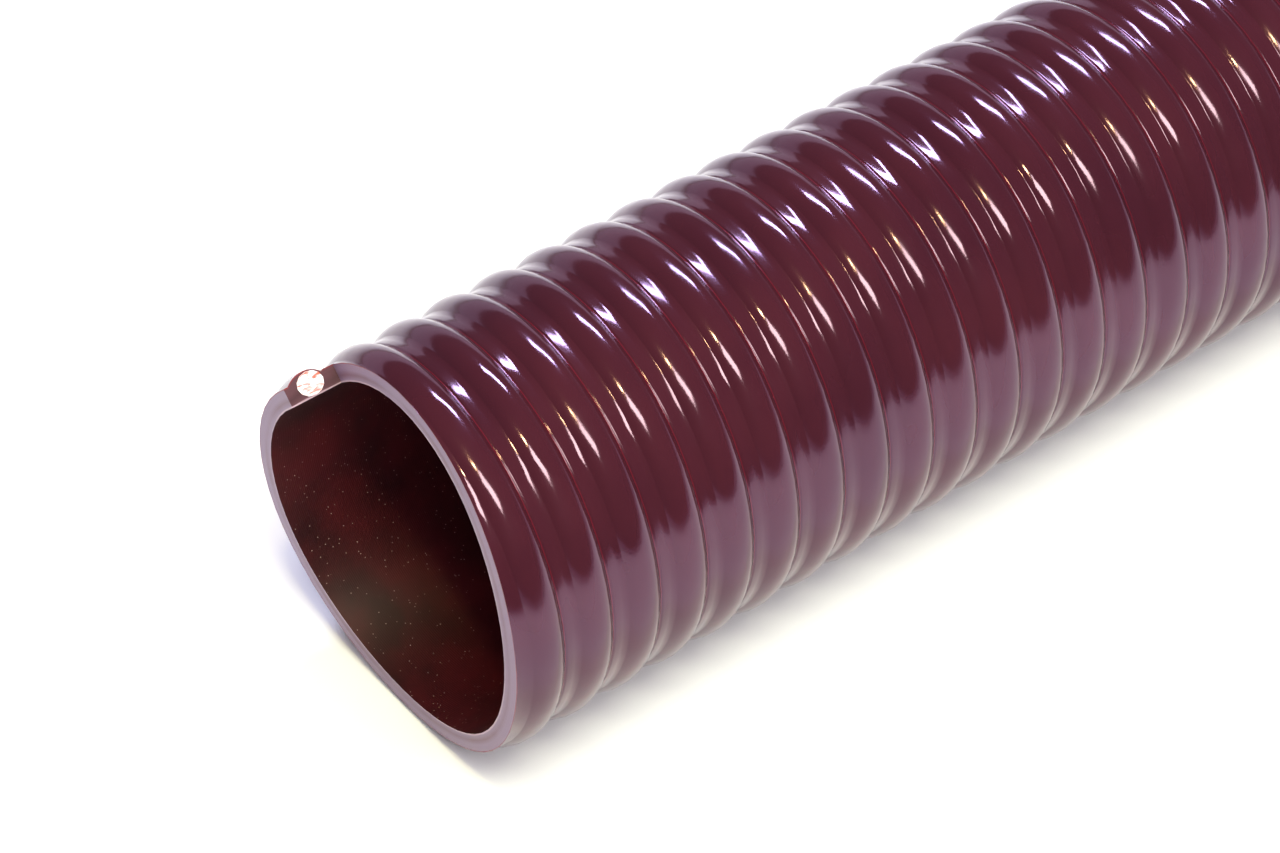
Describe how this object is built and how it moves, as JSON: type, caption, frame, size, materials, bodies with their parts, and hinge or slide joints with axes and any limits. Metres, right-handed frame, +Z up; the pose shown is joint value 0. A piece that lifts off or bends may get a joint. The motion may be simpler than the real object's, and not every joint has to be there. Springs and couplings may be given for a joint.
{
  "type": "sewage hose",
  "caption": "Four-inch soft PVC suction hose with a rigid PVC spiral inside its rib, a straight one-metre length, cut along the spiral at both ends.",
  "frame": {"origin": "on the floor under the middle of the hose, which lies on the crests of its rib", "axes": "+X along the hose, from the end that the picture shows to the far end; +Z up"},
  "size_m": [1, 0.1174, 0.1174],
  "materials": {
    "soft_pvc": "glossy oxblood plasticised PVC, extruded and wound, smooth outside and inside, dull where a knife cut it",
    "rigid_pvc": "white rigid PVC rod, snipped across at the ends"
  },
  "bodies": {
    "root": {"soft_wall": "soft_pvc", "rigid_helix": "rigid_pvc"}
  },
  "joints": []
}
